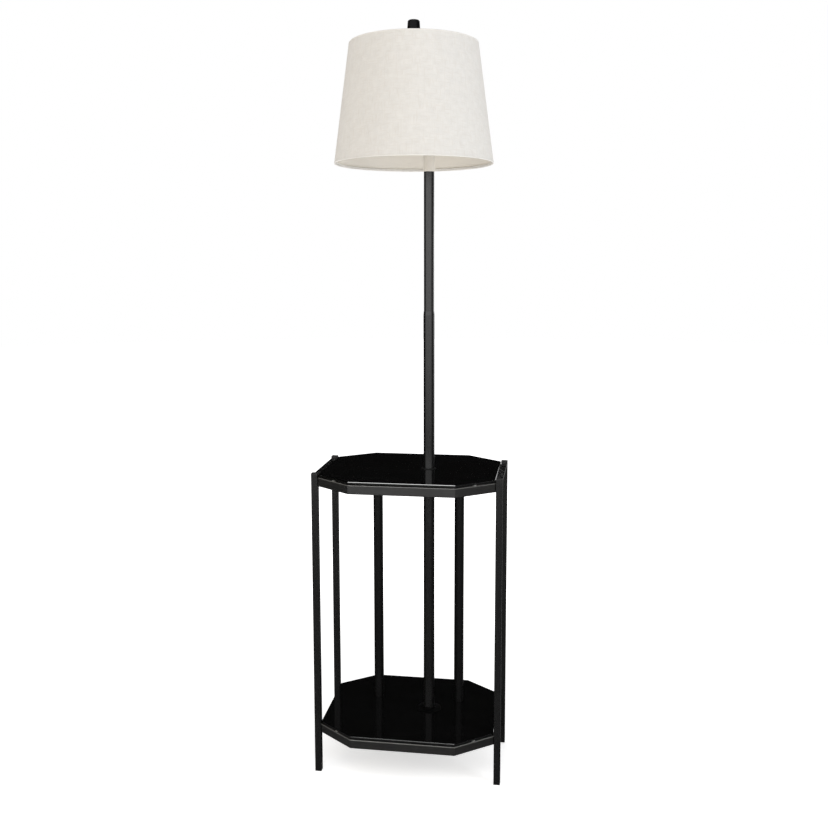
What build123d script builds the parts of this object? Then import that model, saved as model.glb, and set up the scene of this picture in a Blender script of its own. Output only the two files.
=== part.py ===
from build123d import *
from math import acos, atan2, cos, degrees, hypot, radians, sin, sqrt, tan
import os

os.makedirs("parts", exist_ok=True)

# Floor lamp whose pole stands on a two-tier table of octagonal shelves.
# X is to the right, Y to the back, Z up; the floor is z = 0 and the origin is under
# the middle of the shelves.

# ---------------------------------------------------------------- shelves, in plan
shelf_width = 376.0        # left edge to right edge of a shelf frame
shelf_depth = 312.0        # front edge to back edge
side_edge = 192.0          # length of the left and right edges
front_edge = 221.0         # length of the front and back edges

# ---------------------------------------------------------------- shelves, in height
upper_shelf_top = 662.0    # top face of the upper panel
lower_shelf_top = 114.5    # top face of the lower panel
panel_thickness = 4.5
panel_inset = 1.0          # panel edge behind the face of the rail
panel_bevel = 0.7          # polished bevel along the panel's edges
pad_height = 2.0           # clear bumpers between rail and panel
pad_diameter = 9.0
rail_height = 19.0
rail_width = 12.0
rail_wall = 1.2
rail_radius = 1.4          # outer corner of the rail tube
weld_seam = 0.1            # mitre line between two rails
brace_thickness = 3.0      # flat bars that carry the pole and the posts

# ---------------------------------------------------------------- legs
leg_side = 14.0
leg_wall = 1.2
leg_radius = 1.0
leg_setback = 4.0          # leg centre in front of or behind the end of the side edge
leg_rise = 2.5             # leg tops above the upper panel
tie_drop = 1.5             # tie bars below the upper panel's top
tie_thickness = 6.0
cap_thickness = 2.0        # plastic plug flange, top and bottom
plug_length = 10.0
plug_clearance = 0.1

# ---------------------------------------------------------------- posts between shelves
post_diameter = 21.5
post_wall = 1.2
post_left_x = -86.0
post_right_x = 98.0
post_y = 49.0
post_brace_width = 24.0
insert_clearance = 0.05    # threaded inserts in the tube ends
post_insert_length = 14.0
bolt_diameter = 6.0
bolt_hole_clearance = 0.25
bolt_head_diameter = 10.0
bolt_head_height = 6.0
bolt_key = 5.0             # hexagon socket across flats
bolt_engagement = 12.0
low_head_diameter = 12.0
low_head_height = 1.6
low_head_key = 4.0

# ---------------------------------------------------------------- pole
pole_x = 36.5
pole_y = 0.0
pole_diameter = 24.0       # lower tube
pole_wall = 1.2
pole_joint_z = 1003.0      # rim where the upper tube leaves the lower one
swage_length = 8.0
swage_lip = 0.45           # wall left at the rim of the swage
upper_pole_diameter = 21.8
upper_pole_wall = 1.2
spigot_length = 40.0
spigot_clearance = 0.2
pole_brace_width = 34.0
grommet_clearance = 0.2
grommet_wall = 2.2
grommet_lip = 2.0
grommet_lip_height = 1.2
flange_diameter = 54.0
flange_edge = 1.2
flange_collar_wall = 2.0
flange_collar_height = 6.0
nipple_diameter = 10.0     # hollow threaded pipe
nipple_bore = 7.0
nipple_clearance = 0.2
nipple_thread_clearance = 0.05
nipple_tail = 12.2         # pipe below the lower brace
foot_insert_length = 18.0
top_insert_length = 16.0
pole_washer_diameter = 26.0
pole_washer_thickness = 1.6
nut_width = 14.0           # hexagon across flats
nut_height = 4.0
spacer_diameter = 24.0
post_spacer_diameter = 16.0
bushing_bore = 5.0
bushing_flange = 12.0
bushing_flange_height = 2.0
bushing_neck = 5.0
bushing_clearance = 0.1

# ---------------------------------------------------------------- offset housing
head_reach = 32.0          # pole axis to shade axis
head_z = 1332.0            # top end of the pole
housing_width = 24.0
housing_height = 14.0
housing_wall = 2.0
housing_edge = 2.0
cover_thickness = 2.0
head_nipple_rise = 10.0    # pipe above the saddle
head_nipple_drop = 9.5     # pipe below the roof of the housing
pole_nipple_rise = 7.0     # pipe above the cover

# ---------------------------------------------------------------- harp
saddle_thickness = 1.6
saddle_width = 12.0
saddle_span = 54.0         # outside of one ear to the outside of the other
ear_thickness = 1.4
ear_width = 5.0
ear_height = 13.5
harp_wire = 3.2
harp_gap = 0.1             # wire beside the ear
harp_shoulder = 57.0       # half width of the harp at its widest
harp_straight = 34.0       # straight shank that the sleeve rides on
harp_flare = 42.0          # height over which the shank flares out
harp_side = 68.0           # height of the upright side
harp_crown_half = 30.0
harp_bend = 38.0
crown_pad_length = 20.0
crown_pad_width = 9.0
crown_pad_height = 3.4
sleeve_length = 12.0
sleeve_wall = 1.0
sleeve_clearance = 0.3
sleeve_seat = 0.3
stud_diameter = 6.2
stud_flange_diameter = 14.0
stud_flange_height = 2.0
stud_height = 13.0
rivet_diameter = 4.0
rivet_clearance = 0.1

# ---------------------------------------------------------------- socket
cap_radius = 16.6
cap_metal = 0.8
cap_height = 14.0
cap_shoulder = 8.6
shell_wall = 0.5
shell_lap = 7.0            # shell inside the cap
shell_top = 51.5           # rim of the shell above the saddle
shell_gap = 0.2
shell_lip = 0.9
liner_gap = 0.1
liner_wall = 0.6
liner_short = 2.0
body_gap = 0.2
body_bottom = 8.6          # moulded body above the saddle
body_height = 17.0
screw_wall = 0.5
screw_height = 23.0
contact_diameter = 8.0
contact_height = 2.0
switch_height = 20.4       # switch shaft above the saddle
boss_diameter = 8.0
boss_reach = 17.5
boss_clearance = 0.4
shaft_diameter = 4.0
shaft_clearance = 0.05
shaft_start = 7.0
knob_start = 18.4
knob_length = 12.0
knob_diameter = 14.0
knob_edge = 1.0
knob_flutes = 14
flute_diameter = 2.0

# ---------------------------------------------------------------- bulb
bulb_thread_diameter = 26.0
bulb_clearance = 0.15
bulb_tip_diameter = 8.0
bulb_tip_gap = 0.3
bulb_cone_height = 5.0
bulb_base_wall = 0.6
bulb_base_height = 24.0
bulb_globe_diameter = 60.0
bulb_globe_rise = 46.0     # neck of the glass to the middle of the globe
bulb_neck_diameter = 26.0
glass_wall = 1.0

# ---------------------------------------------------------------- shade
shade_bottom_z = 1311.0
shade_height = 243.5
shade_bottom_diameter = 334.0
shade_top_diameter = 268.5
fabric_thickness = 1.0
liner_thickness = 0.55
laminate_gap = 0.25        # adhesive film between fabric and liner
hem_height = 3.0
hem_proud = 0.25
ring_wire = 2.4
ring_gap = 0.25
ring_from_edge = 4.2
hub_diameter = 25.0
hub_thickness = 2.0
hub_clearance = 0.3
spider_wire = 2.6
spider_arms = 3
spider_rise_run = 15.5     # last stretch of an arm, which rises to the ring
spider_bend = 10.0

# ---------------------------------------------------------------- finial
finial_height = 56.0
finial_diameter = 27.5
finial_top_diameter = 25.0
finial_drum_height = 25.0
finial_foot_diameter = 18.0
finial_foot_height = 3.0
finial_neck_diameter = 9.6
finial_edge = 4.0
finial_bore_clearance = 0.1
finial_bore_depth = 14.0

# ---------------------------------------------------------------- worked-out places
half_x, half_y = shelf_width / 2, shelf_depth / 2
corners = [(-front_edge / 2, -half_y), (front_edge / 2, -half_y),
           (half_x, -side_edge / 2), (half_x, side_edge / 2),
           (front_edge / 2, half_y), (-front_edge / 2, half_y),
           (-half_x, side_edge / 2), (-half_x, -side_edge / 2)]
leg_x = half_x + leg_side / 2
leg_y = side_edge / 2 - leg_setback
leg_top = upper_shelf_top + leg_rise
head_x = pole_x - head_reach
post_places = [(post_left_x, post_y), (post_right_x, post_y)]
pole_r, upper_r = pole_diameter / 2, upper_pole_diameter / 2
nipple_hole = nipple_diameter / 2 + nipple_clearance
bolt_hole = bolt_diameter / 2 + bolt_hole_clearance


def rail_top(shelf_top):
    """Height of the rails' upper face under a panel whose top is shelf_top."""
    return shelf_top - panel_thickness - pad_height


def save(builder, name):
    builder.part.label = name
    export_step(builder.part, f"parts/{name}.step")


def inward(i):
    """Unit bisector into the frame at corner i, and its angle in degrees."""
    x, y = corners[i]
    (ax, ay), (bx, by) = corners[i - 1], corners[(i + 1) % 8]
    da, db = hypot(ax - x, ay - y), hypot(bx - x, by - y)
    ux, uy = (ax - x) / da + (bx - x) / db, (ay - y) / da + (by - y) / db
    return degrees(atan2(uy, ux))


def diagonal_seats():
    """Middle of each corner rail, on the rail's centre line."""
    seats = []
    for i, j in ((7, 0), (1, 2), (3, 4), (5, 6)):
        (ax, ay), (bx, by) = corners[i], corners[j]
        run = hypot(bx - ax, by - ay)
        nx, ny = -(by - ay) / run, (bx - ax) / run
        seats.append(((ax + bx) / 2 + nx * rail_width / 2, (ay + by) / 2 + ny * rail_width / 2))
    return seats


# ================================================================ shelf frames
for tier, shelf_top in (("upper", upper_shelf_top), ("lower", lower_shelf_top)):
    top = rail_top(shelf_top)

    # eight lengths of rectangular tube, mitred and welded at the corners
    with BuildPart() as rails:
        with BuildSketch(Plane.XY.offset(top - rail_height)):
            Polygon(*corners, align=None)
            offset(amount=-rail_width, kind=Kind.INTERSECTION, mode=Mode.SUBTRACT)
            for i, corner in enumerate(corners):
                with Locations(corner):
                    Rectangle(4 * rail_width, weld_seam, rotation=inward(i), mode=Mode.SUBTRACT)
        extrude(amount=rail_height)
        flat = rails.faces().filter_by(Axis.Z)
        long_edges = [e for f in flat for e in f.edges() if e.length > 2 * rail_width]
        fillet(long_edges, rail_radius)
        with BuildSketch(Plane.XY.offset(top - rail_height + rail_wall)):
            Polygon(*corners, align=None)
            offset(amount=-rail_wall, kind=Kind.INTERSECTION)
            offset(amount=-(rail_width - 2 * rail_wall), kind=Kind.INTERSECTION,
                   mode=Mode.SUBTRACT)
        extrude(amount=rail_height - 2 * rail_wall, mode=Mode.SUBTRACT)
    save(rails, f"{tier}_frame_rails")

    # two flat bars under the panel: one takes the pole, the other the posts
    pole_hole = pole_r + grommet_clearance if tier == "upper" else nipple_hole
    with BuildPart() as braces:
        with BuildSketch(Plane.XY.offset(top - brace_thickness)):
            with Locations((0, pole_y)):
                Rectangle(shelf_width - 2 * rail_width, pole_brace_width)
            with Locations((0, post_y)):
                Rectangle(shelf_width - 2 * rail_width, post_brace_width)
            with Locations((pole_x, pole_y)):
                Circle(pole_hole, mode=Mode.SUBTRACT)
            with Locations(*post_places):
                Circle(bolt_hole, mode=Mode.SUBTRACT)
        extrude(amount=brace_thickness)
    save(braces, f"{tier}_frame_braces")

    # clear bumpers in the middle of each corner rail
    with BuildPart() as pads:
        with BuildSketch(Plane.XY.offset(top)):
            with Locations(*diagonal_seats()):
                Circle(pad_diameter / 2)
        extrude(amount=pad_height)
    save(pads, f"{tier}_shelf_pads")

    # black glass panel with a polished bevel
    panel_hole = nipple_hole
    if tier == "upper":
        panel_hole = pole_r + grommet_clearance + grommet_wall + grommet_clearance
    with BuildPart() as panel:
        with BuildSketch(Plane.XY.offset(shelf_top - panel_thickness)):
            Polygon(*corners, align=None)
            offset(amount=-panel_inset, kind=Kind.INTERSECTION)
            with Locations((pole_x, pole_y)):
                Circle(panel_hole, mode=Mode.SUBTRACT)
            if tier == "lower":
                with Locations(*post_places):
                    Circle(bolt_hole, mode=Mode.SUBTRACT)
        extrude(amount=panel_thickness)
        rim = panel.edges().filter_by(GeomType.LINE).filter_by(Axis.Z, reverse=True)
        chamfer(rim, panel_bevel)
    save(panel, f"{tier}_shelf_panel")

# ================================================================ legs
for end, y in (("front", -leg_y), ("back", leg_y)):
    for side, x in (("left", -leg_x), ("right", leg_x)):
        with BuildPart() as leg:
            with BuildSketch(Plane.XY.offset(cap_thickness)):
                with Locations((x, y)):
                    RectangleRounded(leg_side, leg_side, leg_radius)
                    Rectangle(leg_side - 2 * leg_wall, leg_side - 2 * leg_wall,
                              mode=Mode.SUBTRACT)
            extrude(amount=leg_top - 2 * cap_thickness)
        save(leg, f"leg_{end}_{side}")

leg_places = [(x, y) for x in (-leg_x, leg_x) for y in (-leg_y, leg_y)]
plug_side = leg_side - 2 * leg_wall - 2 * plug_clearance
for name, base, inner in (("leg_feet", 0.0, cap_thickness),
                          ("leg_top_plugs", leg_top - cap_thickness,
                           leg_top - cap_thickness - plug_length)):
    with BuildPart() as plugs:
        with BuildSketch(Plane.XY.offset(base)):
            with Locations(*leg_places):
                RectangleRounded(leg_side, leg_side, leg_radius)
        extrude(amount=cap_thickness)
        with BuildSketch(Plane.XY.offset(inner)):
            with Locations(*leg_places):
                Rectangle(plug_side, plug_side)
        extrude(amount=plug_length)
    save(plugs, name)

# flat bars welded between the front and back legs, beside the upper panel
with BuildPart() as ties:
    with BuildSketch(Plane.XY.offset(upper_shelf_top - tie_drop - tie_thickness)):
        with Locations((-leg_x, 0), (leg_x, 0)):
            Rectangle(leg_side - 2 * leg_radius, 2 * leg_y - leg_side)
    extrude(amount=tie_thickness)
save(ties, "upper_side_ties")

# ================================================================ posts
upper_brace_under = rail_top(upper_shelf_top) - brace_thickness
lower_brace_under = rail_top(lower_shelf_top) - brace_thickness
for side, place in zip(("left", "right"), post_places):
    with BuildPart() as post:
        with BuildSketch(Plane.XY.offset(lower_shelf_top)):
            with Locations(place):
                Circle(post_diameter / 2)
                Circle(post_diameter / 2 - post_wall, mode=Mode.SUBTRACT)
        extrude(amount=upper_brace_under - lower_shelf_top)
    save(post, f"post_{side}")

with BuildPart() as post_inserts:
    for z in (lower_shelf_top, upper_brace_under - post_insert_length):
        with BuildSketch(Plane.XY.offset(z)):
            with Locations(*post_places):
                Circle(post_diameter / 2 - post_wall - insert_clearance)
                Circle(bolt_diameter / 2 + insert_clearance, mode=Mode.SUBTRACT)
        extrude(amount=post_insert_length)
save(post_inserts, "post_inserts")

# socket-head bolts come up through brace, spacer and lower panel into the posts
with BuildPart() as post_bolts:
    with BuildSketch(Plane.XY.offset(lower_brace_under - bolt_head_height)):
        with Locations(*post_places):
            Circle(bolt_head_diameter / 2)
    extrude(amount=bolt_head_height)
    with BuildSketch(Plane.XY.offset(lower_brace_under - bolt_head_height)):
        with Locations(*post_places):
            RegularPolygon(bolt_key / 2, 6, major_radius=False)
    extrude(amount=bolt_head_height / 2, mode=Mode.SUBTRACT)
    with BuildSketch(Plane.XY.offset(lower_brace_under)):
        with Locations(*post_places):
            Circle(bolt_diameter / 2)
    extrude(amount=lower_shelf_top + bolt_engagement - lower_brace_under)
save(post_bolts, "post_bolts")

# low heads sit in the gap between the upper brace and the panel
with BuildPart() as post_screws:
    with BuildSketch(Plane.XY.offset(rail_top(upper_shelf_top))):
        with Locations(*post_places):
            Circle(low_head_diameter / 2)
    extrude(amount=low_head_height)
    with BuildSketch(Plane.XY.offset(rail_top(upper_shelf_top) + low_head_height)):
        with Locations(*post_places):
            RegularPolygon(low_head_key / 2, 6, major_radius=False)
    extrude(amount=-low_head_height / 2, mode=Mode.SUBTRACT)
    with BuildSketch(Plane.XY.offset(rail_top(upper_shelf_top))):
        with Locations(*post_places):
            Circle(bolt_diameter / 2)
    extrude(amount=-(brace_thickness + bolt_engagement))
save(post_screws, "post_screws")

# rubber washers between the lower brace and the lower panel
with BuildPart() as spacers:
    with BuildSketch(Plane.XY.offset(rail_top(lower_shelf_top))):
        with Locations((pole_x, pole_y)):
            Circle(spacer_diameter / 2)
            Circle(nipple_hole, mode=Mode.SUBTRACT)
        with Locations(*post_places):
            Circle(post_spacer_diameter / 2)
            Circle(bolt_hole, mode=Mode.SUBTRACT)
    extrude(amount=pad_height)
save(spacers, "lower_shelf_spacers")

# ================================================================ pole
pole_axis = Axis((pole_x, pole_y, 0), (0, 0, 1))
pole_plane = Plane(origin=(pole_x, pole_y, 0), x_dir=(1, 0, 0), z_dir=(0, -1, 0))
bore_r = pole_r - pole_wall

# lower tube, drawn in at its upper rim
with BuildPart() as pole_lower:
    with BuildSketch(pole_plane):
        Polygon((bore_r, lower_shelf_top), (pole_r, lower_shelf_top),
                (pole_r, pole_joint_z - swage_length), (bore_r + swage_lip, pole_joint_z),
                (bore_r, pole_joint_z), align=None)
    revolve(axis=pole_axis)
save(pole_lower, "pole_lower")

# upper tube, with a reduced end inside the lower one
spigot_r = bore_r - spigot_clearance
with BuildPart() as pole_upper:
    with BuildSketch(pole_plane):
        Polygon((spigot_r - upper_pole_wall, pole_joint_z - spigot_length),
                (spigot_r, pole_joint_z - spigot_length), (spigot_r, pole_joint_z),
                (upper_r, pole_joint_z), (upper_r, head_z),
                (spigot_r - upper_pole_wall, head_z), align=None)
    revolve(axis=pole_axis)
save(pole_upper, "pole_upper")

with BuildPart() as pole_flange:
    with BuildSketch(pole_plane):
        inner = pole_r + grommet_clearance
        Polygon((inner, lower_shelf_top), (flange_diameter / 2, lower_shelf_top),
                (flange_diameter / 2, lower_shelf_top + flange_edge),
                (inner + flange_collar_wall + 3 * flange_edge, lower_shelf_top + 2 * flange_edge),
                (inner + flange_collar_wall, lower_shelf_top + flange_collar_height / 2),
                (inner + flange_collar_wall, lower_shelf_top + flange_collar_height),
                (inner, lower_shelf_top + flange_collar_height), align=None)
    revolve(axis=pole_axis)
save(pole_flange, "pole_base_flange")

with BuildPart() as grommet:
    with BuildSketch(pole_plane):
        inner = pole_r + grommet_clearance
        neck = inner + grommet_wall
        under = upper_shelf_top - panel_thickness
        Polygon((inner, under - grommet_lip_height), (neck, under - grommet_lip_height),
                (neck + grommet_lip / 2, under), (neck, under), (neck, upper_shelf_top),
                (neck + grommet_lip, upper_shelf_top),
                (neck + grommet_lip / 2, upper_shelf_top + grommet_lip_height),
                (inner, upper_shelf_top + grommet_lip_height), align=None)
    revolve(axis=pole_axis)
save(grommet, "upper_shelf_grommet")

# threaded inserts fixed in the ends of the pole
for name, z, length, bore in (
        ("pole_foot_insert", lower_shelf_top, foot_insert_length, bore_r),
        ("pole_top_insert", head_z - top_insert_length, top_insert_length,
         spigot_r - upper_pole_wall)):
    with BuildPart() as insert:
        with BuildSketch(Plane.XY.offset(z)):
            with Locations((pole_x, pole_y)):
                Circle(bore - insert_clearance)
                Circle(nipple_diameter / 2 + nipple_thread_clearance, mode=Mode.SUBTRACT)
        extrude(amount=length)
    save(insert, name)

# hollow threaded pipes; the cord would run through their bores
cover_top = head_z + cover_thickness
roof_top = cover_top + housing_height
saddle_top = roof_top + saddle_thickness
for name, x, low, high in (
        ("pole_base_nipple", pole_x, lower_brace_under - nipple_tail,
         lower_shelf_top + foot_insert_length - 2),
        ("pole_top_nipple", pole_x, head_z - top_insert_length + 2,
         cover_top + pole_nipple_rise),
        ("head_nipple", head_x, roof_top - housing_wall - head_nipple_drop,
         saddle_top + head_nipple_rise)):
    with BuildPart() as nipple:
        with BuildSketch(Plane.XY.offset(low)):
            with Locations((x, pole_y)):
                Circle(nipple_diameter / 2)
                Circle(nipple_bore / 2, mode=Mode.SUBTRACT)
        extrude(amount=high - low)
    save(nipple, name)

with BuildPart() as pole_washer:
    with BuildSketch(Plane.XY.offset(lower_brace_under - pole_washer_thickness)):
        with Locations((pole_x, pole_y)):
            Circle(pole_washer_diameter / 2)
            Circle(nipple_hole, mode=Mode.SUBTRACT)
    extrude(amount=pole_washer_thickness)
save(pole_washer, "pole_washer")

with BuildPart() as nuts:
    for x, z in ((pole_x, lower_brace_under - pole_washer_thickness - nut_height),
                 (pole_x, cover_top), (head_x, roof_top - housing_wall - nut_height)):
        with BuildSketch(Plane.XY.offset(z)):
            with Locations((x, pole_y)):
                RegularPolygon(nut_width / 2, 6, major_radius=False)
                Circle(nipple_diameter / 2 + nipple_thread_clearance, mode=Mode.SUBTRACT)
        extrude(amount=nut_height)
save(nuts, "nipple_nuts")

with BuildPart() as bushing:
    with BuildSketch(pole_plane):
        end = lower_brace_under - nipple_tail
        neck = nipple_bore / 2 - bushing_clearance
        Polygon((bushing_bore / 2, end - bushing_flange_height),
                (bushing_flange / 2, end - bushing_flange_height), (bushing_flange / 2, end),
                (neck, end), (neck, end + bushing_neck),
                (bushing_bore / 2, end + bushing_neck), align=None)
    revolve(axis=pole_axis)
save(bushing, "cord_bushing")

# ================================================================ offset housing
mid_x = (pole_x + head_x) / 2
with BuildPart() as cover:
    with BuildSketch(Plane.XY.offset(head_z)):
        with Locations((mid_x, pole_y)):
            SlotCenterToCenter(head_reach, housing_width)
        with Locations((pole_x, pole_y)):
            Circle(nipple_hole, mode=Mode.SUBTRACT)
    extrude(amount=cover_thickness)
save(cover, "offset_cover")

with BuildPart() as housing:
    with BuildSketch(Plane.XY.offset(cover_top)):
        with Locations((mid_x, pole_y)):
            SlotCenterToCenter(head_reach, housing_width)
    extrude(amount=housing_height)
    fillet(housing.faces().sort_by(Axis.Z)[-1].edges(), housing_edge)
    with BuildSketch(Plane.XY.offset(cover_top)):
        with Locations((mid_x, pole_y)):
            SlotCenterToCenter(head_reach, housing_width - 2 * housing_wall)
    extrude(amount=housing_height - housing_wall, mode=Mode.SUBTRACT)
    with BuildSketch(Plane.XY.offset(cover_top)):
        with Locations((head_x, pole_y)):
            Circle(nipple_hole)
    extrude(amount=housing_height, mode=Mode.SUBTRACT)
save(housing, "offset_housing")

# ================================================================ harp
head_axis = Axis((head_x, pole_y, 0), (0, 0, 1))
head_plane = Plane(origin=(head_x, pole_y, 0), x_dir=(1, 0, 0), z_dir=(0, -1, 0))
harp_plane = Plane(origin=(head_x, pole_y, 0), x_dir=(0, 1, 0), z_dir=(1, 0, 0))
ear_y = saddle_span / 2 - ear_thickness / 2
wire_y = saddle_span / 2 + harp_gap + harp_wire / 2
sleeve_y = (saddle_span / 2 - ear_thickness + wire_y + harp_wire / 2) / 2
sleeve_bore = max(hypot(sleeve_y - (saddle_span / 2 - ear_thickness), ear_width / 2),
                  wire_y + harp_wire / 2 - sleeve_y) + sleeve_clearance

with BuildPart() as saddle:
    with BuildSketch(Plane.XY.offset(roof_top)):
        with Locations((head_x, pole_y)):
            Rectangle(saddle_width, saddle_span)
            Circle(nipple_hole, mode=Mode.SUBTRACT)
    extrude(amount=saddle_thickness)
    with BuildSketch(Plane.XY.offset(roof_top)):
        with Locations((head_x, pole_y + ear_y), (head_x, pole_y - ear_y)):
            Rectangle(ear_width, ear_thickness)
    extrude(amount=saddle_thickness + ear_height)
save(saddle, "harp_saddle")

shank_z = saddle_top + sleeve_seat + harp_wire / 2
side_z = shank_z + harp_straight + harp_flare
stud_seat = shade_bottom_z + shade_height - 8.0 - hub_thickness - stud_flange_height
crown_z = stud_seat - crown_pad_height / 2
half_path = [(wire_y, shank_z), (wire_y, shank_z + harp_straight), (harp_shoulder, side_z),
             (harp_shoulder, side_z + harp_side), (harp_crown_half, crown_z)]
with BuildPart() as harp:
    with BuildLine(harp_plane) as path:
        FilletPolyline(*half_path, *[(-y, z) for y, z in reversed(half_path)],
                       radius=harp_bend)
    with BuildSketch(Plane(origin=path.line @ 0, z_dir=path.line % 0)):
        Circle(harp_wire / 2)
    sweep()
    with BuildSketch(Plane.XY.offset(crown_z - crown_pad_height / 2)):
        with Locations((head_x, pole_y)):
            RectangleRounded(crown_pad_width, crown_pad_length, crown_pad_width / 3)
    extrude(amount=crown_pad_height)
    with BuildSketch(Plane.XY.offset(crown_z - crown_pad_height)):
        with Locations((head_x, pole_y)):
            Circle(rivet_diameter / 2 + rivet_clearance)
    extrude(amount=2 * crown_pad_height, mode=Mode.SUBTRACT)
save(harp, "harp")

for name, sign in (("harp_sleeve_front", -1), ("harp_sleeve_back", 1)):
    with BuildPart() as sleeve:
        with BuildSketch(Plane.XY.offset(saddle_top + sleeve_seat)):
            with Locations((head_x, pole_y + sign * sleeve_y)):
                Circle(sleeve_bore + sleeve_wall)
                Circle(sleeve_bore, mode=Mode.SUBTRACT)
        extrude(amount=sleeve_length)
    save(sleeve, name)

hub_z = stud_seat + stud_flange_height
with BuildPart() as stud:
    with BuildSketch(head_plane):
        Polygon((0, crown_z - crown_pad_height / 2), (rivet_diameter / 2, crown_z
                - crown_pad_height / 2), (rivet_diameter / 2, stud_seat),
                (stud_flange_diameter / 2, stud_seat), (stud_flange_diameter / 2, hub_z),
                (stud_diameter / 2, hub_z), (stud_diameter / 2, hub_z + stud_height - 0.8),
                (stud_diameter / 2 - 0.8, hub_z + stud_height), (0, hub_z + stud_height),
                align=None)
    revolve(axis=head_axis)
save(stud, "harp_stud")

# ================================================================ socket
z0 = saddle_top
with BuildPart() as socket_cap:
    with BuildSketch(head_plane):
        with BuildLine():
            Polyline((nipple_hole, z0 + cap_metal), (nipple_hole, z0),
                     (cap_radius - cap_shoulder, z0))
            RadiusArc((cap_radius - cap_shoulder, z0), (cap_radius, z0 + cap_shoulder),
                      -cap_shoulder)
            Polyline((cap_radius, z0 + cap_shoulder), (cap_radius, z0 + cap_height),
                     (cap_radius - cap_metal, z0 + cap_height),
                     (cap_radius - cap_metal, z0 + cap_shoulder))
            RadiusArc((cap_radius - cap_metal, z0 + cap_shoulder),
                      (cap_radius - cap_shoulder, z0 + cap_metal),
                      cap_shoulder - cap_metal)
            Line((cap_radius - cap_shoulder, z0 + cap_metal), (nipple_hole, z0 + cap_metal))
        make_face()
    revolve(axis=head_axis)
save(socket_cap, "socket_cap")

shell_r = cap_radius - cap_metal - shell_gap
switch_plane = Plane(origin=(head_x, pole_y, z0 + switch_height), x_dir=(0, 1, 0),
                     z_dir=(-1, 0, 0))
with BuildPart() as socket_shell:
    with BuildSketch(head_plane):
        low, high = z0 + cap_height - shell_lap, z0 + shell_top
        Polygon((shell_r - shell_wall, low), (shell_r, low), (shell_r, high - 2 * shell_lip),
                (shell_r + shell_lip, high - shell_lip), (shell_r + shell_lip, high),
                (shell_r - shell_wall, high), align=None)
    revolve(axis=head_axis)
    with BuildSketch(switch_plane):
        Circle(boss_diameter / 2 + boss_clearance)
    extrude(amount=2 * shell_r, mode=Mode.SUBTRACT)
save(socket_shell, "socket_shell")

liner_r = shell_r - shell_wall - liner_gap
with BuildPart() as socket_liner:
    with BuildSketch(Plane.XY.offset(z0 + cap_height - shell_lap)):
        with Locations((head_x, pole_y)):
            Circle(liner_r)
            Circle(liner_r - liner_wall, mode=Mode.SUBTRACT)
    extrude(amount=shell_top - cap_height + shell_lap - liner_short)
    with BuildSketch(switch_plane):
        Circle(boss_diameter / 2 + boss_clearance)
    extrude(amount=2 * shell_r, mode=Mode.SUBTRACT)
save(socket_liner, "socket_liner")

body_r = liner_r - liner_wall - body_gap
with BuildPart() as socket_body:
    with BuildSketch(Plane.XY.offset(z0 + body_bottom)):
        with Locations((head_x, pole_y)):
            Circle(body_r)
    extrude(amount=body_height)
    with BuildSketch(Plane.XY.offset(z0 + body_bottom)):
        with Locations((head_x, pole_y)):
            Circle(nipple_hole)
    extrude(amount=head_nipple_rise - body_bottom + 1.0, mode=Mode.SUBTRACT)
    with BuildSketch(switch_plane):
        Circle(boss_diameter / 2)
    extrude(amount=boss_reach)
    with BuildSketch(switch_plane.offset(shaft_start - 1.0)):
        Circle(shaft_diameter / 2 + shaft_clearance)
    extrude(amount=boss_reach, mode=Mode.SUBTRACT)
save(socket_body, "socket_body")

screw_r = bulb_thread_diameter / 2 + bulb_clearance
body_top = z0 + body_bottom + body_height
with BuildPart() as screw_shell:
    with BuildSketch(Plane.XY.offset(body_top)):
        with Locations((head_x, pole_y)):
            Circle(screw_r + screw_wall)
            Circle(screw_r, mode=Mode.SUBTRACT)
    extrude(amount=screw_height)
save(screw_shell, "socket_screw_shell")

with BuildPart() as contact:
    with BuildSketch(Plane.XY.offset(body_top)):
        with Locations((head_x, pole_y)):
            Circle(contact_diameter / 2)
    extrude(amount=contact_height)
    chamfer(contact.faces().sort_by(Axis.Z)[-1].edges(), contact_height / 4)
save(contact, "socket_contact")

# turn switch: the shaft runs in the boss of the moulded body
with BuildPart() as switch_shaft:
    with BuildSketch(switch_plane.offset(shaft_start)):
        Circle(shaft_diameter / 2)
    extrude(amount=knob_start + knob_length * 0.7 - shaft_start)
save(switch_shaft, "switch_shaft")

with BuildPart() as switch_knob:
    with BuildSketch(switch_plane.offset(knob_start)):
        Circle(knob_diameter / 2)
    extrude(amount=knob_length)
    chamfer(switch_knob.faces().filter_by(Axis.X).sort_by(Axis.X)[0].edges(), knob_edge)
    with BuildSketch(switch_plane.offset(knob_start)):
        with PolarLocations(knob_diameter / 2 + flute_diameter / 4, knob_flutes):
            Circle(flute_diameter / 2)
    extrude(amount=knob_length, mode=Mode.SUBTRACT)
    with BuildSketch(switch_plane.offset(knob_start)):
        Circle(shaft_diameter / 2 + insert_clearance)
    extrude(amount=knob_length * 0.7 + 0.2, mode=Mode.SUBTRACT)
save(switch_knob, "switch_knob")

# ================================================================ bulb
tip_z = body_top + contact_height + bulb_tip_gap
base_top = tip_z + bulb_base_height
thread_r = bulb_thread_diameter / 2
with BuildPart() as bulb_base:
    with BuildSketch(head_plane):
        Polygon((0, tip_z), (bulb_tip_diameter / 2, tip_z), (thread_r, tip_z + bulb_cone_height),
                (thread_r, base_top), (thread_r - bulb_base_wall, base_top),
                (thread_r - bulb_base_wall, tip_z + bulb_cone_height + bulb_base_wall),
                (0, tip_z + bulb_cone_height + bulb_base_wall), align=None)
    revolve(axis=head_axis)
save(bulb_base, "bulb_base")

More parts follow.
